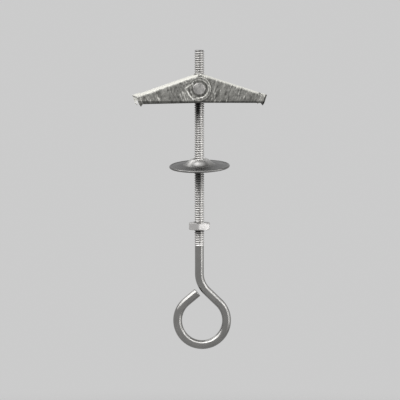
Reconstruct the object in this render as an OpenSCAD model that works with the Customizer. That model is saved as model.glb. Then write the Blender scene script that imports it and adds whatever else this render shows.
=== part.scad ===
// Spring toggle ceiling anchor with an eye bolt.
// +Z is up. The origin lies on the bolt's axis, level with the teeth of the open wings,
// which is where they stand on the back of the ceiling board. Sizes are in millimetres.

/* [Bolt] */
// Outside diameter of the rolled thread
thread_d = 4.75; // [4.5:0.05:5]
// Diameter of the plain wire below the thread and round the eye
wire_d = 4.15; // [3.8:0.05:4.4]
// Height of the bolt's tip above the trunnion's axis
tip_above_pivot = 17.7; // [14:0.1:40]
// Length of the thread, from the tip to its run-out
thread_len = 91.1; // [88:0.1:120]
// Length of the cone where the thread runs out into the plain wire
runout_len = 0.9; // [0.5:0.1:2]
// Chamfer at the bolt's tip
tip_chamfer = 0.5; // [0.2:0.1:0.8]
// Length of plain wire between the thread and the neck's bend
shank_len = 13; // [8:0.2:30]

/* [Eye] */
// How far the neck bends away from the bolt's axis, in degrees
neck_angle = 46; // [40:1:50]
// Radius of the neck's bend, at the middle of the wire
neck_r = 11.4; // [8:0.2:14]
// Length of straight wire between the neck and the ring
neck_straight = 7.95; // [7:0.05:9]
// Radius of the ring, at the middle of the wire
eye_r = 11.4; // [11:0.2:14]
// How far round the ring goes, in degrees
eye_sweep = 276; // [265:1:278]
// Length of straight wire at the ring's free end
eye_tail = 6.8; // [2:0.1:7]

/* [Wings] */
// Thickness of the wings' sheet steel
wing_t = 0.9; // [0.7:0.05:1.1]
// Outside radius of the bends between a wing's top and its sides
bend_r = 1.3; // [1.2:0.05:1.6]
// Height of a wing's top above the trunnion's axis, square to the top
web_h = 6.7; // [6.6:0.05:8]
// How much lower a wing's top is at its outer side than at its inner side
web_fall = 0.85; // [0:0.05:1]
// Length of a wing's inner side from the trunnion's axis to its end, along the top
wing_len = 30.8; // [26:0.2:36]
// How much sooner the outer side ends than the inner side
side_step = 2.3; // [0:0.1:2.4]
// Depth of a wing's side at its end
end_depth = 3.55; // [3:0.05:4.5]
// Taper of a wing's sides, in degrees
side_taper = 18; // [16:0.5:18.5]
// Slope of the tops of the open wings, in degrees
open_slope = 18.7; // [17:0.1:20]
// How far both wings are rocked about the trunnion, in degrees
toggle_rock = -0.7; // [-1:0.1:1]
// How far the toggle is turned on the thread, in degrees
toggle_turn = -2; // [-40:1:40]
// Gap between the two wings' tops over the bolt
apex_gap = 0.4; // [0.3:0.05:1]
// Gap between nested ears
ear_gap = 0.15; // [0.1:0.05:0.25]
// Radius of the ear that lies outside the other wing
outer_ear_r = 5.6; // [5.4:0.05:5.8]
// Radius of the ear that lies inside the other wing
inner_ear_r = 5.1; // [5:0.05:5.2]
// Where the outer side's lower edge ends, measured from the bolt's axis
outer_heel = 0; // [-0.5:0.1:2]
// Where the inner side's lower edge ends, measured from the bolt's axis
inner_heel = 2.2; // [2:0.1:4]
// Length of the flared end of the inner side
flare_len = 3.8; // [3:0.1:5]
// How far each side is flared outwards, in degrees
flare_angle = 12; // [4:1:15]
// Height of the tooth at the end of each side
tooth_h = 1.3; // [0.5:0.05:1.4]
// Width of a tooth where it meets the side's lower edge
tooth_w = 1.6; // [1.2:0.1:2.2]
// Radius of the dish pressed round the trunnion's head
dish_r = 4.0; // [3.4:0.05:4.3]
// Depth of that dish
dish_depth = 0.35; // [0.1:0.05:0.5]
// Distance from the trunnion's axis to the slanting step beside the dish
dish_step = 5.4; // [4.6:0.1:6]
// Slant of that step, in degrees
step_slant = 17; // [0:1:20]

/* [Trunnion nut] */
// Radius of the trunnion's barrel
barrel_r = 3.75; // [3.5:0.05:3.9]
// Gap between the end of the barrel and the ear beside it
barrel_gap = 0.1; // [0.05:0.05:0.2]
// Radius of the ends that pass through the ears
journal_r = 1.9; // [1.6:0.05:2.2]
// Radius of the riveted heads
head_r = 2.85; // [2.4:0.05:3.2]
// Thickness of the riveted heads
head_t = 0.95; // [0.7:0.05:1.3]
// Bevel round the riveted heads
head_bevel = 0.4; // [0.2:0.05:0.5]

/* [Spring] */
// Diameter of the spring's wire
spring_d = 0.55; // [0.4:0.05:0.55]
// Gap between the spring's coil and the barrel
coil_gap = 0.1; // [0.05:0.01:0.2]
// Length of each leg of the spring
leg_len = 13; // [9:0.5:18]

/* [Cover washer] */
// Outside diameter of the washer
washer_d = 28.2; // [24:0.2:34]
// Diameter of its hole
washer_hole_d = 5.5; // [5.4:0.05:6.5]
// Thickness of its sheet
washer_t = 0.8; // [0.6:0.05:0.9]
// Radius of its dome, at the foot
dome_r = 7.9; // [7:0.1:10]
// Radius of the crest round the hole
crest_r = 3.2; // [3.1:0.05:4]
// Height of the crest above the flange
dome_h = 2.8; // [1.5:0.1:4]
// Fall from the crest to the edge of the hole
crest_drop = 0.3; // [0.1:0.05:0.5]
// Fall of the flange from the dome to the rim
flange_fall = 0.35; // [0:0.05:1]
// Radius of the rolled rim
rim_r = 0.55; // [0.5:0.05:0.8]
// Height of the rim's middle below the trunnion's axis
washer_below_pivot = 36.4; // [36:0.1:40]
// How far the loose washer tips forward, in degrees
washer_tip = 6.5; // [0:0.5:7]
// How far the loose washer leans to one side, in degrees
washer_lean = 1.4; // [0:0.1:2]

/* [Lock nut] */
// Width of the nut across its flats
nut_flats = 9.5; // [9:0.1:11]
// Thickness of the nut
nut_t = 3.3; // [2.8:0.1:4]
// Height that the corners' chamfer takes at each face
nut_chamfer = 0.55; // [0.3:0.05:0.8]
// How far the nut's round faces stop short of its flats
nut_land = 0.1; // [0.05:0.05:0.4]
// Depth of the countersink at each end of the nut's bore
nut_countersink = 0.3; // [0.1:0.05:0.6]
// Height of the nut's middle below the trunnion's axis
nut_below_pivot = 64.2; // [62:0.1:68]
// How far the nut is turned on the thread, in degrees
nut_turn = -2; // [-30:1:30]

/* [Fits] */
// Radial clearance of the bolt in the trunnion and in the nut
thread_clear = 0.05; // [0.02:0.01:0.1]
// Radial clearance of the trunnion's ends in the ears
journal_clear = 0.08; // [0.03:0.01:0.1]
// Gap between a riveted head and the dish under it
head_gap = 0.05; // [0.02:0.01:0.1]
// Clearance of the bolt in the notches between the wings
notch_clear = 0.35; // [0.3:0.05:0.6]
// Clearance between the spring and its neighbours
spring_clear = 0.08; // [0.03:0.01:0.1]

/* [Hidden] */
$fn = 96;
reach = 60;                 // longer than any cut has to be
lap = 0.1;                  // how far one stretch of a piece runs into the next
seam = 0.01;                // how much thinner that stretch is all round
thread_r = thread_d / 2;
bore_r = thread_r + thread_clear;
zinc = [0.72, 0.72, 0.71];
bright_zinc = [0.78, 0.78, 0.77];
spring_steel = [0.42, 0.42, 0.43];

// Facets of the wires, and steps along the coil and the washer's curves
wire_sides = 48;
spring_sides = 12;
coil_steps = 28;
curve_steps = 16;

// Spring coil, round the barrel between the bolt and the ears; each leg leans so far that
// its end lies close under the wing's top
coil_r = barrel_r + coil_gap + spring_d / 2;
leg_end_h = web_h - wing_t - web_fall / 2 - spring_clear - spring_d / 2;
leg_lean = asin((leg_end_h - coil_r) / leg_len);
coil_y = thread_r + spring_clear + spring_d / 2;
coil_pitch = spring_d + spring_clear;
coil_turn = 360 + 2 * (open_slope - leg_lean);
coil_end_y = coil_y + coil_pitch * coil_turn / 360 + spring_d / 2;

// Wings, in their own frame: the trunnion's axis is Y, the top is level and runs along +X
nest_shift = (wing_t + ear_gap) / 2;            // each wing sits this far off the middle
channel_w = 2 * (coil_end_y + spring_clear + nest_shift);
channel_out = channel_w + 2 * wing_t;
crease_x = wing_len - flare_len;
web_lean = atan(web_fall / channel_out);
end_z = web_h - end_depth;
tooth_x = wing_len - tooth_w / 4;
tooth_z = end_z - tooth_h;
// Height of the trunnion's axis: it puts the teeth of the open wings at z = 0
pivot_z = tooth_x * sin(open_slope) - tooth_z * cos(open_slope);

// Dish: how far its flanks and its step reach above and below the trunnion's axis
flank_h = 0.97 * dish_r;
step_top = 0.55 * dish_r;
step_foot = -0.85 * dish_r;

// Trunnion, along its axis
barrel_half = channel_w / 2 - nest_shift - barrel_gap;
outer_face = channel_w / 2 + nest_shift + wing_t;
head_y = outer_face - dish_depth + head_gap;

// Washer: where its flange runs into the rolled rim
rim_x = washer_d / 2 - rim_r;
rim_a = asin(washer_t / 2 / rim_r);
flange_r = rim_x - rim_r * cos(rim_a);
lip_share = 0.75;           // how much of the crest's drop is made up halfway to the crest

// Bolt, downwards from its tip
tip_z = pivot_z + tip_above_pivot;
thread_end_z = tip_z - thread_len;
neck_z = thread_end_z - shank_len;
neck_end = [neck_r * (1 - cos(neck_angle)), neck_z - neck_r * sin(neck_angle)];
ring_start = neck_end + neck_straight * [sin(neck_angle), -cos(neck_angle)];
ring_mid = ring_start - eye_r * [cos(neck_angle), sin(neck_angle)];
tail_angle = neck_angle - eye_sweep;
tail_start = ring_mid + eye_r * [cos(tail_angle), sin(tail_angle)];

// Depth of a side's lower edge under the trunnion's axis at x, in the wing's own frame
function edge_z(x) = end_z - (wing_len - x) * tan(side_taper);
// Turns a point of the open wing, [distance out, height], into the wing's own frame
function own(p) = [p[0] * cos(open_slope) - p[1] * sin(open_slope),
                   p[0] * sin(open_slope) + p[1] * cos(open_slope)];
// The point on the lower edge that lies this far out when the wing is open
function heel_point(out) =
    let (x = (out - edge_z(0) * sin(open_slope))
             / (cos(open_slope) + sin(open_slope) * tan(side_taper)))
    [x, edge_z(x)];
// Where a line from p touches a circle of radius r round the axis, on the far side
function touch(p, r) =
    let (a = atan2(p[1], p[0]) - acos(r / norm(p)))
    r * [cos(a), sin(a)];

module wire_bend(r, from, sweep)
    rotate([90, 0, 0])
        rotate_extrude(angle = sweep, start = from)
            translate([r, 0]) circle(d = wire_d, $fn = wire_sides);

// A straight length of wire, a hair thinner than the bends that it runs into
module wire_from(p, lean, length)
    translate([p[0], 0, p[1]]) rotate([0, lean, 0]) translate([0, 0, -lap])
        cylinder(d = wire_d - 2 * seam, h = length + lap, $fn = wire_sides);

// The thread, its run-out and the straight shank, from the tip down into the neck's bend
module straight_bolt() {
    shank_r = wire_d / 2 - seam;
    rotate_extrude()
        polygon([[0, tip_z], [thread_r - tip_chamfer, tip_z], [thread_r, tip_z - tip_chamfer],
                 [thread_r, thread_end_z + runout_len], [shank_r, thread_end_z],
                 [shank_r, neck_z - lap], [0, neck_z - lap]]);
}

module eye_bolt() {
    color(bright_zinc) {
        straight_bolt();
        translate([neck_r, 0, neck_z]) wire_bend(neck_r, 180, neck_angle);
        wire_from(neck_end, 180 - neck_angle, neck_straight + lap);
        translate([ring_mid[0], 0, ring_mid[1]]) wire_bend(eye_r, tail_angle, eye_sweep);
        wire_from(tail_start, 180 - tail_angle, eye_tail);
    }
}

// A wing's section: a channel with rounded top corners, open downwards
module channel_section() {
    difference() {
        arched(channel_out, web_h, bend_r);
        arched(channel_w, web_h - wing_t / cos(web_lean), bend_r - wing_t);
    }
}

// A width with a slightly slanting top and corners of radius r
module arched(w, top, r) {
    mid = [for (side = [-1, 1]) [side * (w / 2 - r), top - r - side * (w / 2 - r) * tan(web_lean)]];
    square_to_top = r * [sin(web_lean), cos(web_lean)];
    polygon([[-w / 2, -reach / 4], [-w / 2, mid[0][1]], mid[0], mid[0] + square_to_top,
             mid[1] + square_to_top, mid[1], [w / 2, mid[1][1]], [w / 2, -reach / 4]]);
    for (p = mid) translate(p) circle(r = r, $fn = wire_sides);
}

// Outline of one side of a wing, with its ear and the heel of its lower edge
module side_outline(ear_r, heel_out) {
    heel = heel_point(heel_out);
    circle(r = ear_r);
    polygon([own([apex_gap / 2, web_h / cos(open_slope) - apex_gap / 2 * tan(open_slope)]),
             [crease_x, web_h], [crease_x, edge_z(crease_x)], heel,
             touch(heel, ear_r - lap), own([apex_gap / 2, 0])]);
}

// One side's outline drawn out across half of the wing: side is 1 for the outer half
module half_slab(side, ear_r, heel_out)
    translate([0, side * reach / 4, 0]) rotate([90, 0, 0])
        linear_extrude(reach / 2, center = true) side_outline(ear_r, heel_out);

module channel_body() {
    intersection() {
        translate([-reach / 4, 0, 0]) rotate([90, 0, 90])
            linear_extrude(crease_x + reach / 4) channel_section();
        union() {
            half_slab(1, outer_ear_r, outer_heel);
            half_slab(-1, inner_ear_r, inner_heel);
        }
    }
}

// Distance of a flared side's outer face from the wing's middle, at x
function flare_y(x) = channel_out / 2 - seam + (x - crease_x) * tan(flare_angle);

// Past the crease both sides flare outwards, and each ends in a tooth
module flared_end() {
    ends = [wing_len, wing_len - side_step];         // inner side, outer side
    root_x = crease_x - lap;
    rotate([-web_lean, 0, 0]) translate([0, 0, web_h * cos(web_lean) - wing_t + seam])
        linear_extrude(wing_t - 2 * seam)
            polygon([[root_x, -channel_w / 2], [crease_x, -channel_w / 2 - wing_t / 2],
                     [ends[0], -flare_y(ends[0]) - lap / 2], [ends[1], flare_y(ends[1]) + lap / 2],
                     [crease_x, channel_w / 2 + wing_t / 2], [root_x, channel_w / 2]]);
    flared_side(-1, ends[0]);
    flared_side(1, ends[1]);
}

// One flared side: its plan, rooted in the sheet behind the crease, cut to the side's outline
module flared_side(side, end_x) {
    root_x = crease_x - lap;
    sheet = wing_t - 2 * seam;
    intersection() {
        linear_extrude(reach, center = true)
            polygon([for (p = [[root_x, flare_y(crease_x) - sheet], [crease_x, flare_y(crease_x) - sheet],
                               [end_x, flare_y(end_x) - sheet], [end_x, flare_y(end_x)],
                               [crease_x, flare_y(crease_x)], [root_x, flare_y(crease_x)]])
                     [p[0], side * p[1]]]);
        rotate([90, 0, 0]) linear_extrude(reach, center = true)
            polygon([[root_x, web_h - wing_t / 2], [end_x, web_h - wing_t / 2],
                     [end_x, edge_z(end_x)], [end_x - tooth_w / 4, edge_z(end_x) - tooth_h],
                     [end_x - tooth_w, edge_z(end_x - tooth_w) + seam],
                     [root_x, edge_z(root_x) + seam]]);
    }
}

// The dish round the riveted head runs out to a slanting step on the wing's side
module dish()
    translate([0, channel_out / 2 - dish_depth, 0]) rotate([-90, 0, 0])
        linear_extrude(wing_t) mirror([0, 1]) {
            circle(r = dish_r);
            polygon([own([0, flank_h]),
                     own([dish_step + step_top * tan(step_slant), step_top]),
                     own([dish_step + step_foot * tan(step_slant), step_foot]),
                     own([0, -flank_h])]);
        }

module wing() {
    translate([0, nest_shift, 0]) difference() {
        union() {
            channel_body();
            flared_end();
        }
        translate([0, -nest_shift, 0]) rotate([0, -open_slope, 0])
            cylinder(r = thread_r + notch_clear, h = reach);
        rotate([90, 0, 0]) cylinder(r = journal_r + journal_clear, h = reach, center = true);
        dish();
    }
}

module at_pivot() translate([0, 0, pivot_z]) rotate([0, 0, toggle_turn]) children();

module wing_right()
    color(zinc) at_pivot() rotate([0, open_slope + toggle_rock, 0]) wing();

module wing_left()
    color(zinc) at_pivot() rotate([0, 0, 180]) rotate([0, open_slope - toggle_rock, 0]) wing();

module trunnion_nut() {
    color(bright_zinc) at_pivot() difference() {
        rotate([90, 0, 0]) {
            cylinder(r = barrel_r, h = 2 * barrel_half, center = true);
            cylinder(r = journal_r, h = 2 * head_y + head_t, center = true);
            for (side = [0, 1]) mirror([0, 0, side]) translate([0, 0, head_y]) {
                cylinder(r = head_r, h = head_t - head_bevel);
                translate([0, 0, head_t - head_bevel])
                    cylinder(r1 = head_r, r2 = head_r - head_bevel, h = head_bevel);
            }
        }
        cylinder(r = bore_r, h = reach, center = true);
    }
}

// Middle line of the spring's wire: one leg, one turn and a bit of coil, the other leg
function coil_point(start, a) =
    [coil_r * cos(start - a), coil_y + coil_pitch * a / 360, coil_r * sin(start - a)];
function spring_path() =
    let (fall_l = open_slope - toggle_rock - leg_lean, fall_r = open_slope + toggle_rock - leg_lean)
    let (start = 90 + fall_l)
    concat([coil_point(start, 0) + leg_len * [-cos(fall_l), 0, -sin(fall_l)]],
           [for (i = [0:coil_steps]) coil_point(start, coil_turn * i / coil_steps)],
           [coil_point(start, coil_turn) + leg_len * [cos(fall_r), 0, -sin(fall_r)]]);

// Sweeps a round wire along a path that lies nearly in the XZ plane
module swept_wire(path, d, sides) {
    n = len(path);
    rings = [for (i = [0:n - 1])
        let (way = path[min(i + 1, n - 1)] - path[max(i - 1, 0)])
        let (t = way / norm(way), u = [0, 1, 0], v = cross(t, u) / norm(cross(t, u)))
        for (k = [0:sides - 1]) path[i] + d / 2 * (cos(360 * k / sides) * u + sin(360 * k / sides) * v)];
    polyhedron(
        points = rings,
        faces = concat(
            [[for (k = [0:sides - 1]) k]],
            [for (i = [0:n - 2]) for (k = [0:sides - 1])
                let (a = i * sides + k, b = i * sides + (k + 1) % sides)
                [a, a + sides, b + sides, b]],
            [[for (k = [sides - 1:-1:0]) (n - 1) * sides + k]]));
}

module torsion_spring()
    color(spring_steel) at_pivot() swept_wire(spring_path(), spring_d, spring_sides);

// Height of the washer's upper face over the rim's lower side, at radius r
function flange_z(r) = rim_r + washer_t / 2 + flange_fall * (flange_r - r) / (flange_r - dome_r);
function dome_z(r) = r < dome_r
    ? flange_z(dome_r) + dome_h * (1 + cos(180 * (r - crest_r) / (dome_r - crest_r))) / 2
    : flange_z(r);

module cover_washer() {
    hole_r = washer_hole_d / 2;
    hole_z = dome_z(crest_r) - crest_drop;
    top = concat([[hole_r, hole_z], [(hole_r + crest_r) / 2, hole_z + lip_share * crest_drop]],
                 [for (i = [0:curve_steps])
                     let (r = crest_r + (dome_r - crest_r) * i / curve_steps)
                     [r, dome_z(r)]]);
    under = [for (i = [len(top) - 1:-1:0])
        let (way = top[min(i + 1, len(top) - 1)] - top[max(i - 1, 0)])
        top[i] + washer_t * [way[1], -way[0]] / norm(way)];
    rim = [for (i = [0:curve_steps])
        let (a = (180 - rim_a) * (1 - 2 * i / curve_steps))
        [rim_x + rim_r * cos(a), rim_r + rim_r * sin(a)]];
    color(zinc) translate([0, 0, pivot_z - washer_below_pivot + hole_z - rim_r])
        rotate([washer_tip, -washer_lean, 0]) translate([0, 0, -hole_z])
            rotate_extrude() polygon(concat(top, rim, under));
}

// A six-sided nut, its corners turned down at both faces and its bore countersunk
module lock_nut() {
    corner_r = nut_flats / sqrt(3) + lap;
    face_r = nut_flats / 2 - nut_land;
    color(bright_zinc) translate([0, 0, pivot_z - nut_below_pivot])
        difference() {
            intersection() {
                rotate([0, 0, 30 + nut_turn])
                    cylinder(r = nut_flats / sqrt(3), h = nut_t, center = true, $fn = 6);
                rotate_extrude()
                    polygon([[0, -nut_t / 2], [face_r, -nut_t / 2],
                             [corner_r, nut_chamfer - nut_t / 2], [corner_r, nut_t / 2 - nut_chamfer],
                             [face_r, nut_t / 2], [0, nut_t / 2]]);
            }
            cylinder(r = bore_r, h = reach, center = true);
            for (side = [0, 1]) mirror([0, 0, side])
                translate([0, 0, nut_t / 2 - nut_countersink])
                    cylinder(r1 = bore_r, r2 = bore_r + nut_countersink + lap, h = nut_countersink + lap);
        }
}

eye_bolt();
trunnion_nut();
wing_left();
wing_right();
torsion_spring();
cover_washer();
lock_nut();
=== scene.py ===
"""Looks of the spring toggle ceiling anchor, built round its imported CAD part.

The frame is metres, +Z up, with the origin on the bolt's axis at the teeth of the open wings.
The sizes below are millimetres and degrees; MM carries them into the frame.
"""

import math

import bmesh
import bpy
from mathutils import Matrix, Vector


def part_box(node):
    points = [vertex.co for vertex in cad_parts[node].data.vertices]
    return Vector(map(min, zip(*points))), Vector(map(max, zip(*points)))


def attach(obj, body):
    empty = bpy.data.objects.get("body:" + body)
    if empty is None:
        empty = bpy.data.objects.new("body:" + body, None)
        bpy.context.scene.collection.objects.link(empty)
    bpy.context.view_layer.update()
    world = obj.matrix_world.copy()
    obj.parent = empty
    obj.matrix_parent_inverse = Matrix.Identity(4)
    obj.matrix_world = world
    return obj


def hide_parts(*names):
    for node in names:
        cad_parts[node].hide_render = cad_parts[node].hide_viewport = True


MM = 0.001

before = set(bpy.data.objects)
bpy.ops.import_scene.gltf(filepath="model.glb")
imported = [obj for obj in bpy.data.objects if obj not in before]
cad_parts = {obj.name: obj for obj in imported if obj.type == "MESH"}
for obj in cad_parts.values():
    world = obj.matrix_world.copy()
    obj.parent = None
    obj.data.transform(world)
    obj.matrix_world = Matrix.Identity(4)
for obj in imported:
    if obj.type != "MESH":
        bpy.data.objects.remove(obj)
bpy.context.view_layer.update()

# ---------------------------------------------------------------- sizes of the eye bolt
THREAD_R = 4.75 / 2
WIRE_R = 4.15 / 2
PITCH = 25.4 / 24        # 24 turns to the inch
THREAD_DEPTH = 0.5
THREAD_LEN = 91.1
RUNOUT_LEN = 0.9         # over this length the thread rises out of the plain wire
TIP_CHAMFER = 0.5
SHANK_LEN = 13.0
NECK_ANGLE = 46.0
NECK_R = 11.4
NECK_STRAIGHT = 7.95
EYE_R = 11.4             # of the middle of the wire
EYE_SWEEP = 276.0
EYE_TAIL = 6.8           # straight piece at the ring's open end
TAIL_ROUND = 0.3         # rounding of the cut end

# ---------------------------------------------------------------- sizes of the toggle
BARREL_R = 3.75          # barrel of the trunnion nut
OPEN_SLOPE = 18.7        # of the open wings' tops
TOGGLE_ROCK = -0.7       # lean of the whole toggle, seen from the front
TOGGLE_TURN = -2.0       # and its turn about the bolt

INNER_LEN = 30.8                # from the pivot to the end of a wing's inner side
OUTER_LEN = INNER_LEN - 2.3     # and to the end of its outer side
SHEET = 0.9
WEB_H = 6.7              # top of a wing over the trunnion's axis
WEB_FALL = 0.85          # by which a top falls towards its outer side
WEB_UNDER = WEB_H - SHEET - WEB_FALL / 2   # underside of a top over the trunnion's axis
EAR_R = 5.6              # outer ear of a wing
DISH_R = 4.0             # dish pressed round the trunnion's head
DISH_FLANK = 0.97 * DISH_R      # the dish's straight borders, above and below the head
DISH_STEP = 5.4          # from the trunnion's axis to the slanting step beside the dish
STEP_TOP = 0.55 * DISH_R
STEP_FOOT = -0.85 * DISH_R
STEP_SLANT = 17.0

SPRING_R = 0.55 / 2
SPRING_GAP = 0.08        # from the wire to the bolt, to the wings' tops and to its next turn
COIL_GAP = 0.1           # from the wire to the barrel
COIL_R = BARREL_R + COIL_GAP + SPRING_R
COIL_Y = THREAD_R + SPRING_GAP + SPRING_R
COIL_PITCH = 2 * SPRING_R + SPRING_GAP
LEG_LEN = 13.0

# ---------------------------------------------------------------- sizes of the washer
WASHER_R = 28.2 / 2
WASHER_HOLE_R = 5.5 / 2
WASHER_T = 0.8
DOME_R = 7.9
CREST_R = 3.2
DOME_H = 2.8
CREST_DROP = 0.3         # from the dome's crest to the edge of the hole
FLANGE_FALL = 0.35       # from the dome's foot to the rim
RIM_R = 0.55             # rolled rim
HOLE_HOLLOW = 0.04       # by which the hole's edge is hollow
WASHER_BELOW = 36.4      # the hole's edge below the trunnion's axis
WASHER_TIP = 6.5         # its front side is lower
WASHER_LEAN = 1.4        # its right side is higher

# ---------------------------------------------------------------- places of the painted light and shade, the thread's duller ends, the scratches and the softer finish, millimetres
FOOT_BAND = 2.5          # height up to which the wings' front sides are darkened: a painted dark reflection
FOOT_SOFT = 0.35         # softness of that band's upper edge
FOOT_FADE = 3.5          # above the band the sides get paler over this height
PALE_END = (2.2, 1.2)    # before the end of the left wing's front side: painted light on its end
END_BAND = (3.8, 3.0)    # before the end of the right wing's front side: a band of painted light
END_LINE = (1.0, 0.85)   # and the line of painted shade that closes it
DISH_EDGE = (0.15, 0.4)  # outside the left wing's dish: middle and half width of the painted highlight on its edge
DISH_LINE = (-0.6, 0.45)           # and of the line of painted shade inside it
EAR_EDGE = (EAR_R - 0.2, 0.3)      # and of the painted highlight on the ear's edge, from the pivot
SCRATCH_CELL = (0.55, 1.5, 3.2)    # width, depth and length of a scratch
STREAK_CELL = (1.1, 2.0, 3.6)      # and of the streaks between the scratches
UPPER_DULL = (3, 6)      # above the pivot: the thread's duller upper end
TIP_DARK = (0.7, 0.4)    # below the tip: its dark rim
STREAK_END = (20, 11)    # below the pivot: the streak of painted shade on the thread fades out
STREAK_START = (3, 0)    # and its start, hidden in the toggle
STREAK_LEFT = (-0.7 * THREAD_R, -0.45 * THREAD_R)    # its left border, across the thread
STREAK_RIGHT = (0.0, 0.2 * THREAD_R)                 # and its right one
SHADE_SIDE = (0.1 * THREAD_R, 0.4 * THREAD_R)        # right of this the shade is weaker
SKY_REACH = 20           # how far up the thread is shaded by what is over it
ROOT_DARK = (THREAD_R - THREAD_DEPTH, THREAD_R - 0.4 * THREAD_DEPTH)   # radii of the painted shade in the roots
RIM_FADE = 0.3           # the washer's rim gets a painted highlight over this width
DOME_FADE = 4.5          # and its dome over this one, inwards from the foot
DOME_SOFT = (0.5, 3.0)   # beyond the dome's foot its softer finish ends
FRONT_HALF = (3, 9)      # half width of the softer finish in front of the dome
FRONT_SOFT = (-(DOME_R + 1), -(DOME_R - 1))          # and where it ends, going back

# ---------------------------------------------------------------- strength of the painted light and shade, the thread's duller ends and the softer finish
# Factors of the metal's colour, 1 for no change
FOOT_TONE = 0.4          # painted dark reflection in a band at the foot of a wing's front side
SIDE_TONE = (0.8, 1.05)  # just above that band, and higher up
FACING_RIGHT_TONE = 0.4  # painted shade on a wing's faces that look to the object's right
TOP_TONE = 2.4           # painted highlight on the top of a wing, in place of the sides' pattern
# painted light on the insides of the wings' far sides, which lie in shade
INSIDE_TONE_LEFT = 3.2
INSIDE_TONE_RIGHT = 2.0
# painted light at the wings' front ends, and painted shade in the right wing's end line
PALE_END_TONE = 1.6
END_BAND_TONE = (0.93, 1.25)       # before the paler band, and in it
END_LINE_TONE = 0.15
UPPER_TONE = 0.8
TIP_TONE = 0.5
CREST_TONE = 1.15        # the thread's, before the painted shade in its roots is taken off
# painted highlights on the washer's rim and dome
RIM_TONE = 2.2
DOME_TONE = 8.0
# Gains of the painted highlights and shade round the left wing's dish and ear, 0 for no change
DISH_EDGE_GAIN = 1.2
DISH_LINE_GAIN = -0.3
EAR_EDGE_GAIN = 0.6
# Shares of the colour taken off the thread as painted shade
SHADE_LOSS = 0.85        # right under the wings or the washer, at the left
SHADE_LOSS_RIGHT = 0.45  # share of that at the right
STREAK_LOSS = 0.92
ROOT_LOSS = (0.45, 0.65)           # in the open, and in the shade
# Open share of the space above the thread at which its shade is full, and none
SHADE_OPEN = (0.02, 0.21)
# Roughness added
TOP_ROUGH = 0.2
DOME_ROUGH = 0.05
FRONT_ROUGH = 0.14

# ---------------------------------------------------------------- view, floor and room
VIEW_WIDTH = 186.0       # width of the view at the object
VIEW_X = 0.3             # middle of the view, across
VIEW_BELOW = 52.08       # and how far it lies below the trunnion's axis
CAMERA_FAR = 2200.0
CAMERA_TILT = 4.8        # above level
FLOOR_DROP = 70          # floor below the ring
FLOOR_R = 430
FLOOR_FADE = (200, 420)  # it fades into the background between these radii
FLOOR_GREY = 0.33
BACKDROP = 0.6           # grey of the room all round

# ---------------------------------------------------------------- lights, metres and watts
LIGHTS_Z = -0.045        # height of the middle of the arcs
ARC_FAR = 0.8
ARC_SIZE = (0.26, 0.46)
# Degrees round the front, from the object's right over its top; degrees off the front; power
ARC_LIGHTS = ((45, 56, 0.85), (68, 56, 0.85), (90, 56, 0.9), (112, 56, 1.0), (135, 56, 1.3),
              (32, 82, 0.9), (145, 82, 1.5))
# Upright strips level with the object, at its right: degrees off the front; power; size
STRIP_LIGHTS = ((58, 1.3, (0.12, 0.9)), (84, 1.1, (0.3, 0.9)))
OVERHEAD_PLACE = (-0.4, -0.05, 0.65)
OVERHEAD_TARGET = (-0.1, 0.0, 0)
OVERHEAD_SIZE = (1.6, 0.6)
OVERHEAD_POWER = 4.2

# ---------------------------------------------------------------- heights in the frame
tip_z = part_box("eye_bolt")[1].z / MM
pivot_z = (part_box("trunnion_nut")[0].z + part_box("trunnion_nut")[1].z) / 2 / MM
floor_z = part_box("eye_bolt")[0].z / MM - FLOOR_DROP
thread_end = tip_z - THREAD_LEN


# ---------------------------------------------------------------- meshes
def new_mesh(name, verts, faces, mat):
    """One smooth mesh piece from points in millimetres."""
    mesh = bpy.data.meshes.new(name)
    mesh.from_pydata([Vector(v) * MM for v in verts], [], faces)
    bm = bmesh.new()
    bm.from_mesh(mesh)
    bmesh.ops.remove_doubles(bm, verts=bm.verts, dist=1e-7)
    bmesh.ops.recalc_face_normals(bm, faces=bm.faces)
    bm.to_mesh(mesh)
    bm.free()
    for face in mesh.polygons:
        face.use_smooth = True
    obj = bpy.data.objects.new(name, mesh)
    bpy.context.scene.collection.objects.link(obj)
    mesh.materials.append(mat)
    return obj


def rings_to_mesh(name, rings, mat):
    """Joins rings of points into a closed skin with a fan at each end."""
    verts, faces = [], []
    for ring in rings:
        verts.extend(ring)
    n = len(rings[0])
    for i in range(len(rings) - 1):
        for k in range(n):
            a, b = i * n + k, i * n + (k + 1) % n
            faces.append((a, b, b + n, a + n))
    for start, flip in ((0, True), ((len(rings) - 1) * n, False)):
        ring = verts[start:start + n]
        middle = sum((Vector(p) for p in ring), Vector()) / n
        verts.append(middle)
        hub = len(verts) - 1
        for k in range(n):
            a, b = start + k, start + (k + 1) % n
            faces.append((hub, b, a) if flip else (hub, a, b))
    return new_mesh(name, verts, faces, mat)


def tube(name, path, wire_r, sides, mat):
    """A round wire along a path of points."""
    path = [Vector(p) for p in path]
    rings = []
    side = None
    for i, point in enumerate(path):
        way = (path[min(i + 1, len(path) - 1)] - path[max(i - 1, 0)]).normalized()
        if side is None:
            side = way.orthogonal().normalized()
        side = (side - way * side.dot(way)).normalized()
        other = way.cross(side)
        ring = []
        for k in range(sides):
            a = 2 * math.pi * k / sides
            ring.append(point + wire_r * (math.cos(a) * side + math.sin(a) * other))
        rings.append(ring)
    return rings_to_mesh(name, rings, mat)


# ---------------------------------------------------------------- shader nodes
def ramp(tree, value, low, high, out_low, out_high):
    """Carries a value from one range to another."""
    node = tree.nodes.new("ShaderNodeMapRange")
    node.inputs["From Min"].default_value = low
    node.inputs["From Max"].default_value = high
    node.inputs["To Min"].default_value = out_low
    node.inputs["To Max"].default_value = out_high
    tree.links.new(value, node.inputs["Value"])
    return node.outputs["Result"]


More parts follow.
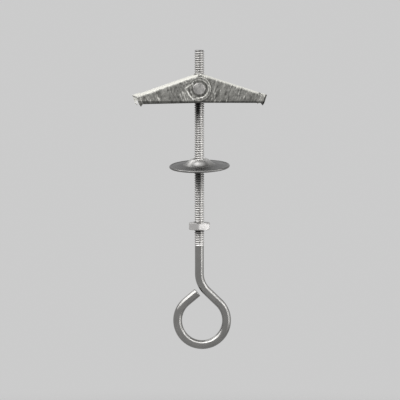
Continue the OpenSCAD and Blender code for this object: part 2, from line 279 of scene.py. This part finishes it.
def fade(tree, length, start, end, before, after):
    """The value before a start, given in millimetres, fading into the one after an end."""
    return ramp(tree, length, start * MM, end * MM, before, after)


def combine(tree, kind, a, b):
    """One sum, product, minimum or maximum of values and plain numbers."""
    node = tree.nodes.new("ShaderNodeMath")
    node.operation = kind
    for socket, value in zip(node.inputs, (a, b)):
        if isinstance(value, float):
            socket.default_value = value
        else:
            tree.links.new(value, socket)
    return node.outputs["Value"]


def product(tree, a, b):
    return combine(tree, "MULTIPLY", a, b)


def noise(tree, place, scale, detail=3.0, rough=0.55, distortion=0.0):
    node = tree.nodes.new("ShaderNodeTexNoise")
    node.inputs["Scale"].default_value = scale
    node.inputs["Detail"].default_value = detail
    node.inputs["Roughness"].default_value = rough
    node.inputs["Distortion"].default_value = distortion
    tree.links.new(place, node.inputs["Vector"])
    return node.outputs["Fac"]


def grain(tree, place, cell, slant, detail):
    """Noise whose grains have the cell's three sizes and lean by the slant."""
    mapping = tree.nodes.new("ShaderNodeMapping")
    mapping.vector_type = "TEXTURE"
    mapping.inputs["Scale"].default_value = [size * MM for size in cell]
    mapping.inputs["Rotation"].default_value = (0, math.radians(slant), 0)
    tree.links.new(place, mapping.inputs["Vector"])
    return noise(tree, mapping.outputs["Vector"], 1.0, detail, 0.5, 0.35)


def split(tree, vector):
    node = tree.nodes.new("ShaderNodeSeparateXYZ")
    tree.links.new(vector, node.inputs["Vector"])
    return node.outputs["X"], node.outputs["Y"], node.outputs["Z"]


def dot(tree, place, way):
    """How far a place lies along a direction, in metres."""
    node = tree.nodes.new("ShaderNodeVectorMath")
    node.operation = "DOT_PRODUCT"
    tree.links.new(place, node.inputs[0])
    node.inputs[1].default_value = way
    return node.outputs["Value"]


def radius(tree, place, shares):
    """Distance from the middle, in metres: the shares are 1 for the axes that count."""
    node = tree.nodes.new("ShaderNodeVectorMath")
    node.operation = "MULTIPLY"
    tree.links.new(place, node.inputs[0])
    node.inputs[1].default_value = shares
    size = tree.nodes.new("ShaderNodeVectorMath")
    size.operation = "LENGTH"
    tree.links.new(node.outputs["Vector"], size.inputs[0])
    return size.outputs["Value"]


def beyond_line(tree, place, start, end):
    """Signed distance from a line in the XZ plane, in metres, positive on its left side."""
    across = Vector((start[1] - end[1], end[0] - start[0])).normalized()
    return combine(tree, "SUBTRACT", dot(tree, place, (across.x, 0, across.y)),
                   across.dot(Vector(start)) * MM)


def band(tree, value, middle, half, gain):
    """1 away from a value in millimetres, and 1 + gain at it."""
    off = combine(tree, "ABSOLUTE", combine(tree, "SUBTRACT", value, middle * MM), 0.0)
    return fade(tree, off, 0.3 * half, half, 1 + gain, 1.0)


def open_share(tree, reach, samples, way=None):
    """How much of the space over a surface, or in one direction, is open, from 0 to 1."""
    node = tree.nodes.new("ShaderNodeAmbientOcclusion")
    node.inputs["Distance"].default_value = reach * MM
    node.samples = samples
    if way:
        aim = tree.nodes.new("ShaderNodeCombineXYZ")
        for axis, share in zip("XYZ", way):
            aim.inputs[axis].default_value = share
        tree.links.new(aim.outputs["Vector"], node.inputs["Normal"])
    return node.outputs["AO"]


# ---------------------------------------------------------------- scratches of the wings, and the light and shade painted on them
def scratches(tree, place, tone, slant):
    """Short bright scratches in worn patches, and faint darker streaks between them."""
    lines = grain(tree, place, SCRATCH_CELL, slant, 2.0)
    bright = ramp(tree, lines, 0.57, 0.64, 0.0, 1.5)
    worn = ramp(tree, noise(tree, place, 220.0), 0.44, 0.58, 0.15, 1.0)
    streaks = ramp(tree, grain(tree, place, STREAK_CELL, slant, 1.0), 0.35, 0.55, -0.4, 0.0)
    tone = combine(tree, "ADD", tone, product(tree, bright, worn))
    return combine(tree, "ADD", tone, streaks), lines


def wing_place(tree, place, way):
    """A point in a wing's own axes: outwards from its pivot, and square to that."""
    slope = math.radians(OPEN_SLOPE + way * TOGGLE_ROCK)
    own = tree.nodes.new("ShaderNodeCombineXYZ")
    for axis, x_share, z_share in (("X", way * math.cos(slope), -math.sin(slope)),
                                   ("Z", way * math.sin(slope), math.cos(slope))):
        length = combine(tree, "SUBTRACT", dot(tree, place, (x_share, 0, z_share)),
                         z_share * pivot_z * MM)
        tree.links.new(length, own.inputs[axis])
    return own.outputs["Vector"]


def dish_border(tree, own):
    """How far a point of a wing's side lies outside its pressed dish, in metres."""
    slant = math.tan(math.radians(STEP_SLANT))
    corners = [(0, DISH_FLANK), (DISH_STEP + STEP_TOP * slant, STEP_TOP),
               (DISH_STEP + STEP_FOOT * slant, STEP_FOOT), (0, -DISH_FLANK)]
    sides = [beyond_line(tree, own, corners[i], corners[(i + 1) % 4]) for i in range(4)]
    pocket = combine(tree, "MAXIMUM", combine(tree, "MAXIMUM", sides[0], sides[1]),
                     combine(tree, "MAXIMUM", sides[2], sides[3]))
    around_head = combine(tree, "SUBTRACT", radius(tree, own, (1, 0, 1)), DISH_R * MM)
    return combine(tree, "MINIMUM", pocket, around_head)


def left_wing_gains(tree, own, along, inside):
    """Painted highlight on the dish's border, painted shade in a line inside it, a painted
    highlight on the ear's edge, and painted light on the end and on the inside.
    """
    border = dish_border(tree, own)
    from_pivot = radius(tree, own, (1, 0, 1))
    return [band(tree, border, *DISH_EDGE, DISH_EDGE_GAIN),
            band(tree, border, *DISH_LINE, DISH_LINE_GAIN),
            band(tree, from_pivot, *EAR_EDGE, EAR_EDGE_GAIN),
            fade(tree, along, OUTER_LEN - PALE_END[0], OUTER_LEN - PALE_END[1], 1.0,
                 PALE_END_TONE),
            ramp(tree, inside, 0.0, 1.0, 1.0, INSIDE_TONE_LEFT)]


def right_wing_gains(tree, own, along, inside):
    """Painted light in a band at the end of the side, painted shade in the line that closes it,
    and painted light on the inside.
    """
    return [fade(tree, along, INNER_LEN - END_BAND[0], INNER_LEN - END_BAND[1], *END_BAND_TONE),
            fade(tree, along, INNER_LEN - END_LINE[0], INNER_LEN - END_LINE[1], 1.0,
                 END_LINE_TONE),
            ramp(tree, inside, 0.0, 1.0, 1.0, INSIDE_TONE_RIGHT)]


def wing_painted_light(tree, place, normal, tone, rough, way, more_gains):
    """Painted highlights on the tops, a painted dark reflection in a band at the foot of the
    front sides, painted shade on faces that look to the right, and the painted light and shade
    that one wing adds.

    The way is -1 for the left wing and 1 for the right one.
    """
    x_way, y_way, z_way = split(tree, normal)
    _, depth, height = split(tree, place)
    own = wing_place(tree, place, way)
    along, _, _ = split(tree, own)
    behind = fade(tree, depth, 0.0, 1.0, 0.0, 1.0)
    # painted light on the insides of the far sides, which lie in shade
    inside = product(tree, behind, ramp(tree, y_way, -0.6, -0.3, 1.0, 0.0))
    # painted dark reflection in a band at the foot of the front sides, then paler upwards
    foot = fade(tree, height, FOOT_BAND - FOOT_SOFT, FOOT_BAND, FOOT_TONE, 1.0)
    gains = [combine(tree, "MAXIMUM", behind, foot),
             fade(tree, height, FOOT_BAND, FOOT_BAND + FOOT_FADE, *SIDE_TONE),
             # painted shade on faces that look to the right
             ramp(tree, x_way, 0.75, 0.9, 1.0, FACING_RIGHT_TONE)]
    for gain in gains + more_gains(tree, own, along, inside):
        tone = product(tree, tone, gain)
    # painted highlight on the tops, which are also rougher
    level = ramp(tree, z_way, 0.35, 0.8, 0.0, 1.0)
    blend = tree.nodes.new("ShaderNodeMix")
    tree.links.new(level, blend.inputs["Factor"])
    tree.links.new(tone, blend.inputs["A"])
    blend.inputs["B"].default_value = TOP_TONE
    rough = combine(tree, "ADD", rough, product(tree, level, TOP_ROUGH))
    return blend.outputs["Result"], rough


def left_wing_painted_light(tree, place, normal, tone, rough):
    return wing_painted_light(tree, place, normal, tone, rough, -1, left_wing_gains)


def right_wing_painted_light(tree, place, normal, tone, rough):
    return wing_painted_light(tree, place, normal, tone, rough, 1, right_wing_gains)


# ---------------------------------------------------------------- light painted on the washer, and its softer finish
def washer_painted_light(tree, place, normal, tone, rough):
    """Painted highlights on the rim and the dome, and a softer finish on the dome, at its foot
    and in front of it.
    """
    out = radius(tree, place, (1, 1, 0))
    # painted highlights on the rim and the dome
    rim = fade(tree, out, WASHER_R - RIM_R - RIM_FADE, WASHER_R - RIM_R, 1.0, RIM_TONE)
    dome = fade(tree, out, DOME_R - DOME_FADE, DOME_R, DOME_TONE, 1.0)
    soft = fade(tree, out, DOME_R + DOME_SOFT[0], DOME_R + DOME_SOFT[1], DOME_ROUGH, 0.0)
    across, depth, _ = split(tree, place)
    middle = fade(tree, combine(tree, "ABSOLUTE", across, 0.0), *FRONT_HALF, 1.0, 0.0)
    ahead = fade(tree, depth, *FRONT_SOFT, FRONT_ROUGH, 0.0)
    rough = combine(tree, "ADD", rough, product(tree, middle, ahead))
    return product(tree, product(tree, tone, rim), dome), combine(tree, "ADD", rough, soft)


# ---------------------------------------------------------------- shade painted on the thread, and its duller ends
def painted_shade_streak(tree, across, height):
    """A narrow streak of painted shade left of the thread's middle, just below the toggle."""
    left = fade(tree, across, *STREAK_LEFT, 0.5, 1.0)
    right = fade(tree, across, *STREAK_RIGHT, 1.0, 0.1)
    end = fade(tree, height, pivot_z - STREAK_END[0], pivot_z - STREAK_END[1], 0.0, STREAK_LOSS)
    start = fade(tree, height, pivot_z - STREAK_START[0], pivot_z - STREAK_START[1], 1.0, 0.0)
    return product(tree, product(tree, end, start), product(tree, left, right))


def thread_painted_shade(tree, place, normal, tone, rough):
    """Painted shade in the roots, a duller upper end, and painted shade in stretches under the
    wings and the washer.
    """
    across, _, height = split(tree, place)
    upper = fade(tree, height, pivot_z + UPPER_DULL[0], pivot_z + UPPER_DULL[1], 1.0, UPPER_TONE)
    tip = fade(tree, height, tip_z - TIP_DARK[0], tip_z - TIP_DARK[1], 1.0, TIP_TONE)
    tone = product(tree, tone, product(tree, upper, tip))
    sky = open_share(tree, SKY_REACH, 16, (0, 0, 1))
    shade = ramp(tree, sky, *SHADE_OPEN, SHADE_LOSS, 0.0)
    side = fade(tree, across, *SHADE_SIDE, 1.0, SHADE_LOSS_RIGHT)
    loss = combine(tree, "MAXIMUM", product(tree, shade, side),
                   painted_shade_streak(tree, across, height))
    # painted shade in the roots, deeper in the shade under the wings and the washer
    root = fade(tree, radius(tree, place, (1, 1, 0)), *ROOT_DARK, 1.0, 0.0)
    dark = product(tree, root, ramp(tree, shade, 0.0, 0.4, *ROOT_LOSS))
    tone = product(tree, tone, combine(tree, "SUBTRACT", CREST_TONE, dark))
    return product(tree, tone, combine(tree, "SUBTRACT", 1.0, loss)), rough


# ---------------------------------------------------------------- materials
def link_relief(tree, shader, height, strength, soft_edge):
    """Fine relief of the surface, on edges rounded by soft_edge."""
    relief = tree.nodes.new("ShaderNodeBump")
    relief.inputs["Strength"].default_value = strength
    relief.inputs["Distance"].default_value = 0.2 * MM
    tree.links.new(height, relief.inputs["Height"])
    if soft_edge:
        soft = tree.nodes.new("ShaderNodeBevel")
        soft.samples = 8
        soft.inputs["Radius"].default_value = soft_edge * MM
        tree.links.new(soft.outputs["Normal"], relief.inputs["Normal"])
    tree.links.new(relief.outputs["Normal"], shader.inputs["Normal"])


def material(name, color, rough, mottle=0.06, mottle_scale=260.0, bump=0.15, crevice_shade=0.6,
             crevice_size=0.9, slant=None, painted_light=None, soft_edge=0.0):
    """Metal with a mottled finish, painted shade in its hollows, and its own painted light and
    shade.
    """
    mat = bpy.data.materials.new(name)
    mat.use_nodes = True
    tree = mat.node_tree
    shader = tree.nodes["Principled BSDF"]
    shader.inputs["Metallic"].default_value = 1.0
    coords = tree.nodes.new("ShaderNodeTexCoord")
    place = coords.outputs["Object"]
    patches = ramp(tree, noise(tree, place, mottle_scale), 0.3, 0.7, 1 - mottle, 1 + mottle)
    clouds = ramp(tree, noise(tree, place, 0.3 * mottle_scale), 0.35, 0.65,
                  1 - 0.6 * mottle, 1 + 0.6 * mottle)
    tone = product(tree, patches, clouds)
    height = noise(tree, place, 6 * mottle_scale, 2.0)
    roughness = ramp(tree, noise(tree, place, 0.7 * mottle_scale), 0.3, 0.7,
                     0.85 * rough, 1.15 * rough)
    if slant is not None:
        tone, lines = scratches(tree, place, tone, slant)
        height = combine(tree, "ADD", height, lines)
    if painted_light:
        tone, roughness = painted_light(tree, place, coords.outputs["Normal"], tone, roughness)
    # painted shade in hollows and gaps, where little space over the surface is open
    hollow = ramp(tree, open_share(tree, crevice_size, 8), 0.35, 0.95, 1 - crevice_shade, 1.0)
    scale = tree.nodes.new("ShaderNodeVectorMath")
    scale.operation = "SCALE"
    scale.inputs[0].default_value = color
    tree.links.new(product(tree, tone, hollow), scale.inputs["Scale"])
    tree.links.new(scale.outputs["Vector"], shader.inputs["Base Color"])
    tree.links.new(roughness, shader.inputs["Roughness"])
    link_relief(tree, shader, height, bump, soft_edge)
    return mat


def wing_material(name, slant, painted_light):
    return material(name, (0.27, 0.267, 0.25), 0.55, mottle=0.27, mottle_scale=900.0,
                    crevice_shade=0.4, crevice_size=1.0, slant=slant, painted_light=painted_light, soft_edge=0.6)


# The metals' base colours are darker than plain zinc: a painted reflection of darker
# surroundings, while the room all round is plain pale grey.
bolt_zinc = material("bolt_zinc", (0.28, 0.276, 0.267), 0.2, crevice_shade=0.3)
thread_zinc = material("thread_zinc", (0.64, 0.63, 0.615), 0.29, crevice_shade=0.0, painted_light=thread_painted_shade)
trunnion_zinc = material("trunnion_zinc", (0.32, 0.314, 0.304), 0.55, mottle=0.3,
                         mottle_scale=700.0, bump=0.2, crevice_shade=0.75, crevice_size=0.8)
wing_zinc_left = wing_material("wing_zinc_left", -OPEN_SLOPE, left_wing_painted_light)
wing_zinc_right = wing_material("wing_zinc_right", OPEN_SLOPE, right_wing_painted_light)
# Very dark: a painted dark reflection on the flange; the dome and rim are lightened by painted
# highlights.
washer_zinc = material("washer_zinc", (0.08, 0.079, 0.077), 0.27, mottle=0.08, bump=0.03,
                       painted_light=washer_painted_light)
nut_zinc = material("nut_zinc", (0.5, 0.49, 0.48), 0.42)
spring_zinc = material("spring_zinc", (0.42, 0.42, 0.43), 0.35, bump=0.1)


# ---------------------------------------------------------------- eye bolt
BOLT_SIDES = 48
TURN_STEPS = 12          # rings to each turn of the thread
SHANK_STEPS = 10
BEND_STEPS = 24
NECK_STEPS = 6
EYE_STEPS = 140
TAIL_STEPS = 5
ROUND_STEPS = 4


def thread_share(z, around):
    """0 at the thread's root and 1 at its crest; the thread is right-handed."""
    phase = (z / PITCH - around / (2 * math.pi)) % 1.0
    off = abs(phase - 0.5) * 2          # 0 at the middle of the crest, 1 at that of the root
    return (1 + math.cos(math.pi * off)) / 2


def thread_radius(z, around):
    """Radius of the threaded length at a height and an angle round the bolt."""
    risen = min(1.0, max(0.0, (z - thread_end) / RUNOUT_LEN))
    crest = WIRE_R + (THREAD_R - WIRE_R) * risen
    root = WIRE_R + (THREAD_R - THREAD_DEPTH - WIRE_R) * risen
    r = root + (crest - root) * thread_share(z, around)
    return min(r, THREAD_R - TIP_CHAMFER + (tip_z - z))


def bolt_ring(point, lean, radius_at):
    """One ring round the wire, at a point and a lean in the XZ plane."""
    x, z = point
    ring = []
    for k in range(BOLT_SIDES):
        around = 2 * math.pi * k / BOLT_SIDES
        r = radius_at(around)
        ring.append((x + r * math.cos(around) * math.cos(lean), r * math.sin(around),
                     z + r * math.cos(around) * math.sin(lean)))
    return ring


def further(point, lean, length):
    """The place a length further along the wire."""
    return point[0] + length * math.sin(lean), point[1] - length * math.cos(lean)


def plain(around):
    return WIRE_R


def thread_rings():
    rings = []
    z = tip_z
    while z > thread_end:
        rings.append(bolt_ring((0.0, z), 0.0, lambda around: thread_radius(z, around)))
        z -= PITCH / TURN_STEPS
    return rings


def wire_rings():
    """The plain shank, the neck's bend and straight, and the ring to its open end."""
    rings = []
    for i in range(SHANK_STEPS):
        point = (0.0, thread_end - SHANK_LEN * i / SHANK_STEPS)
        rings.append(bolt_ring(point, 0.0, plain))
    neck_z = thread_end - SHANK_LEN
    for i in range(BEND_STEPS + 1):
        lean = math.radians(NECK_ANGLE) * i / BEND_STEPS
        point = (NECK_R * (1 - math.cos(lean)), neck_z - NECK_R * math.sin(lean))
        rings.append(bolt_ring(point, lean, plain))
    for i in range(1, NECK_STEPS):
        place = further(point, lean, NECK_STRAIGHT * i / NECK_STEPS)
        rings.append(bolt_ring(place, lean, plain))
    start = further(point, lean, NECK_STRAIGHT)
    middle = (start[0] - EYE_R * math.cos(lean), start[1] - EYE_R * math.sin(lean))
    for i in range(EYE_STEPS + 1):
        turned = lean - math.radians(EYE_SWEEP) * i / EYE_STEPS
        point = (middle[0] + EYE_R * math.cos(turned), middle[1] + EYE_R * math.sin(turned))
        rings.append(bolt_ring(point, turned, plain))
    straight = EYE_TAIL - TAIL_ROUND
    for i in range(1, TAIL_STEPS + 1):
        place = further(point, turned, straight * i / TAIL_STEPS)
        rings.append(bolt_ring(place, turned, plain))
    for i in range(1, ROUND_STEPS + 1):
        angle = math.pi / 2 * i / ROUND_STEPS
        end_r = WIRE_R - TAIL_ROUND * (1 - math.cos(angle))
        place = further(point, turned, straight + TAIL_ROUND * math.sin(angle))
        rings.append(bolt_ring(place, turned, lambda around: end_r))
    return rings


def make_eye_bolt():
    bolt = rings_to_mesh("threaded_eye_bolt", thread_rings() + wire_rings(), bolt_zinc)
    bolt.data.materials.append(thread_zinc)
    for face in bolt.data.polygons:
        if face.center.z > thread_end * MM:
            face.material_index = 1
    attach(bolt, "eye_bolt")
    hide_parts("eye_bolt")


# ---------------------------------------------------------------- spring
COIL_STEPS = 72
LEG_STEPS = 12
SPRING_SIDES = 16


def spring_leg(end, fall, way):
    """A straight leg from the coil's end, falling outwards to the left or the right."""
    slope = math.radians(fall)
    outwards = Vector((way * math.cos(slope), 0, -math.sin(slope)))
    return [end + outwards * (LEG_LEN * i / LEG_STEPS) for i in range(LEG_STEPS + 1)]


def make_spring():
    leg_rise = WEB_UNDER - SPRING_GAP - SPRING_R - COIL_R
    leg_lean = math.degrees(math.asin(leg_rise / LEG_LEN))
    fall_left = OPEN_SLOPE - TOGGLE_ROCK - leg_lean
    fall_right = OPEN_SLOPE + TOGGLE_ROCK - leg_lean
    start = 90 + fall_left
    turn = 360 + 2 * (OPEN_SLOPE - leg_lean)
    place = (Matrix.Translation((0, 0, pivot_z))
             @ Matrix.Rotation(math.radians(TOGGLE_TURN), 4, "Z"))

    coil = []
    for i in range(COIL_STEPS + 1):
        turned = turn * i / COIL_STEPS
        angle = math.radians(start - turned)
        coil.append(Vector((COIL_R * math.cos(angle), COIL_Y + COIL_PITCH * turned / 360,
                            COIL_R * math.sin(angle))))
    parts = (("spring_coil", coil, "toggle"),
             ("spring_leg_left", spring_leg(coil[0], fall_left, -1), "wing_left"),
             ("spring_leg_right", spring_leg(coil[-1], fall_right, 1), "wing_right"))
    for name, path, body in parts:
        wire = tube(name, [place @ p for p in path], SPRING_R, SPRING_SIDES, spring_zinc)
        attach(wire, body)
        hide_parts("torsion_spring")


# ---------------------------------------------------------------- washer
WASHER_STEPS = 160
DOME_STEPS = 40
FLANGE_STEPS = 6
RIM_STEPS = 24
EDGE_STEPS = 4

rim_x = WASHER_R - RIM_R
rim_angle = math.asin(WASHER_T / 2 / RIM_R)      # where the sheet meets the rolled rim
flange_r = rim_x - RIM_R * math.cos(rim_angle)


def washer_top(r):
    """Height of the washer's upper face at a radius: flange, dome, and its drop to the hole."""
    if r >= DOME_R:
        return RIM_R + WASHER_T / 2 + FLANGE_FALL * (flange_r - r) / (flange_r - DOME_R)
    share = (r - CREST_R) / (DOME_R - CREST_R)
    if share < 0:
        drop = (share * (DOME_R - CREST_R) / (WASHER_HOLE_R - CREST_R)) ** 2
        return washer_top(CREST_R) - CREST_DROP * drop
    return washer_top(DOME_R) + DOME_H * (1 + math.cos(math.pi * share)) / 2


def washer_profile():
    """The washer's outline: upper face outwards, rim, underside inwards, edge of the hole."""
    radii = [WASHER_HOLE_R + (DOME_R - WASHER_HOLE_R) * i / DOME_STEPS
             for i in range(DOME_STEPS + 1)]
    radii += [DOME_R + (flange_r - DOME_R) * i / FLANGE_STEPS for i in range(1, FLANGE_STEPS)]
    top = [Vector((r, washer_top(r))) for r in radii]
    rim = []
    for i in range(RIM_STEPS + 1):
        angle = (math.pi - rim_angle) * (1 - 2 * i / RIM_STEPS)
        rim.append(Vector((rim_x + RIM_R * math.cos(angle), RIM_R + RIM_R * math.sin(angle))))
    under = []
    for i in range(len(top) - 1, -1, -1):
        way = (top[min(i + 1, len(top) - 1)] - top[max(i - 1, 0)]).normalized()
        under.append(top[i] + WASHER_T * Vector((way.y, -way.x)))
    edge = []
    for i in range(1, EDGE_STEPS):
        share = i / EDGE_STEPS
        hollow = Vector((-HOLE_HOLLOW * math.sin(math.pi * share), 0))
        edge.append(under[-1].lerp(top[0], share) + hollow)
    return top + rim + under + edge


def make_washer():
    hole_z = washer_top(CREST_R) - CREST_DROP
    place = (Matrix.Translation((0, 0, pivot_z - WASHER_BELOW + hole_z - RIM_R))
             @ Matrix.Rotation(math.radians(-WASHER_LEAN), 4, "Y")
             @ Matrix.Rotation(math.radians(WASHER_TIP), 4, "X")
             @ Matrix.Translation((0, 0, -hole_z)))
    profile = washer_profile()
    verts, faces = [], []
    n = len(profile)
    for i in range(WASHER_STEPS):
        a = 2 * math.pi * i / WASHER_STEPS
        for p in profile:
            verts.append(place @ Vector((p.x * math.cos(a), p.x * math.sin(a), p.y)))
        j = (i + 1) % WASHER_STEPS
        for k in range(n):
            m = (k + 1) % n
            faces.append((i * n + k, j * n + k, j * n + m, i * n + m))
    washer = new_mesh("domed_washer", verts, faces, washer_zinc)
    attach(washer, "washer")
    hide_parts("cover_washer")


# ---------------------------------------------------------------- CAD pieces with softened edges
FLAT_ANGLE = 0.5         # faces within this angle are joined into one
EDGE_ANGLE = 25.0        # edges sharper than this are rounded


def dress(node, mat, width, segments=2):
    """Gives a CAD piece its material and rounds its edges by the width."""
    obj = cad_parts[node]
    obj.data.materials.clear()
    obj.data.materials.append(mat)
    if "custom_normal" in obj.data.attributes:
        obj.data.attributes.remove(obj.data.attributes["custom_normal"])
    weld = obj.modifiers.new("weld", "WELD")
    weld.merge_threshold = 1e-6
    flat = obj.modifiers.new("flat_faces", "DECIMATE")
    flat.decimate_type = "DISSOLVE"
    flat.angle_limit = math.radians(FLAT_ANGLE)
    bevel = obj.modifiers.new("soft_edges", "BEVEL")
    bevel.width = width * MM
    bevel.segments = segments
    bevel.limit_method = "ANGLE"
    bevel.angle_limit = math.radians(EDGE_ANGLE)
    bevel.harden_normals = True
    for face in obj.data.polygons:
        face.use_smooth = True


# ---------------------------------------------------------------- camera and lights
def add_camera():
    scene = bpy.context.scene
    data = bpy.data.cameras.new("camera")
    cam = bpy.data.objects.new("camera", data)
    scene.collection.objects.link(cam)
    tilt = math.radians(CAMERA_TILT)
    target = Vector((VIEW_X, 0, pivot_z - VIEW_BELOW)) * MM
    cam.location = target + Vector((0, -math.cos(tilt), math.sin(tilt))) * CAMERA_FAR * MM
    cam.rotation_euler = (math.radians(90) - tilt, 0, 0)
    data.sensor_width = 36
    data.lens = data.sensor_width * CAMERA_FAR / VIEW_WIDTH
    data.clip_end = 20
    scene.camera = cam


def add_light(name, place, power, size, target):
    data = bpy.data.lights.new(name, "AREA")
    data.energy = power
    data.shape = "RECTANGLE"
    data.size, data.size_y = size
    lamp = bpy.data.objects.new(name, data)
    lamp.location = place
    lamp.rotation_euler = (Vector(target) - Vector(place)).to_track_quat("-Z", "Y").to_euler()
    bpy.context.scene.collection.objects.link(lamp)


def arc_place(turn, off):
    """A place this many degrees off the front, turned from the object's right over its top."""
    t, o = math.radians(turn), math.radians(off)
    return (ARC_FAR * math.sin(o) * math.cos(t), -ARC_FAR * math.cos(o),
            ARC_FAR * math.sin(o) * math.sin(t) + LIGHTS_Z)


def add_lights():
    for turn, off, power in ARC_LIGHTS:
        add_light("arc_%03d" % turn, arc_place(turn, off), power, ARC_SIZE, (0, 0, LIGHTS_Z))
    for off, power, size in STRIP_LIGHTS:
        add_light("strip_%02d" % off, arc_place(0, off), power, size, (0, 0, LIGHTS_Z))
    add_light("overhead", OVERHEAD_PLACE, OVERHEAD_POWER, OVERHEAD_SIZE, OVERHEAD_TARGET)


# ---------------------------------------------------------------- room and floor
def make_world():
    """A plain pale room all round, the same for the camera and for the metal."""
    world = bpy.data.worlds.new("world")
    bpy.context.scene.world = world
    world.use_nodes = True
    room = world.node_tree.nodes["Background"]
    room.inputs["Color"].default_value = (BACKDROP, BACKDROP, BACKDROP, 1)
    room.inputs["Strength"].default_value = 1.0


def floor_material():
    """Pale, and clear towards the floor's edge."""
    mat = bpy.data.materials.new("floor_pale")
    mat.use_nodes = True
    tree = mat.node_tree
    shader = tree.nodes["Principled BSDF"]
    shader.inputs["Roughness"].default_value = 0.9
    shader.inputs["Base Color"].default_value = (FLOOR_GREY, FLOOR_GREY, FLOOR_GREY, 1)
    coords = tree.nodes.new("ShaderNodeTexCoord")
    out = radius(tree, coords.outputs["Object"], (1, 1, 1))
    alpha = fade(tree, out, FLOOR_FADE[0], FLOOR_FADE[1], 1.0, 0.0)
    alpha.node.interpolation_type = "SMOOTHSTEP"
    tree.links.new(alpha, shader.inputs["Alpha"])
    return mat


def make_floor():
    """A pale round floor below the hanging anchor, fading into the background at its edge."""
    verts, faces = [(0, 0, 0)], []
    steps = 96
    rounds = 8
    for ring in range(1, rounds + 1):
        for k in range(steps):
            a = 2 * math.pi * k / steps
            r = FLOOR_R * ring / rounds
            verts.append((r * math.cos(a), r * math.sin(a), 0))
    for k in range(steps):
        faces.append((0, 1 + k, 1 + (k + 1) % steps))
    for ring in range(rounds - 1):
        for k in range(steps):
            a, b = 1 + ring * steps + k, 1 + ring * steps + (k + 1) % steps
            faces.append((a, a + steps, b + steps, b))
    floor = new_mesh("floor", verts, faces, floor_material())
    floor.location = (0, 0, floor_z * MM)


# ---------------------------------------------------------------- the scene
make_eye_bolt()
make_spring()
make_washer()
dress("trunnion_nut", trunnion_zinc, 0.08)
dress("wing_left", wing_zinc_left, 0.35, 3)
dress("wing_right", wing_zinc_right, 0.35, 3)
dress("lock_nut", nut_zinc, 0.12)
make_floor()
make_world()
add_camera()
add_lights()
bpy.context.scene.view_settings.view_transform = "Standard"
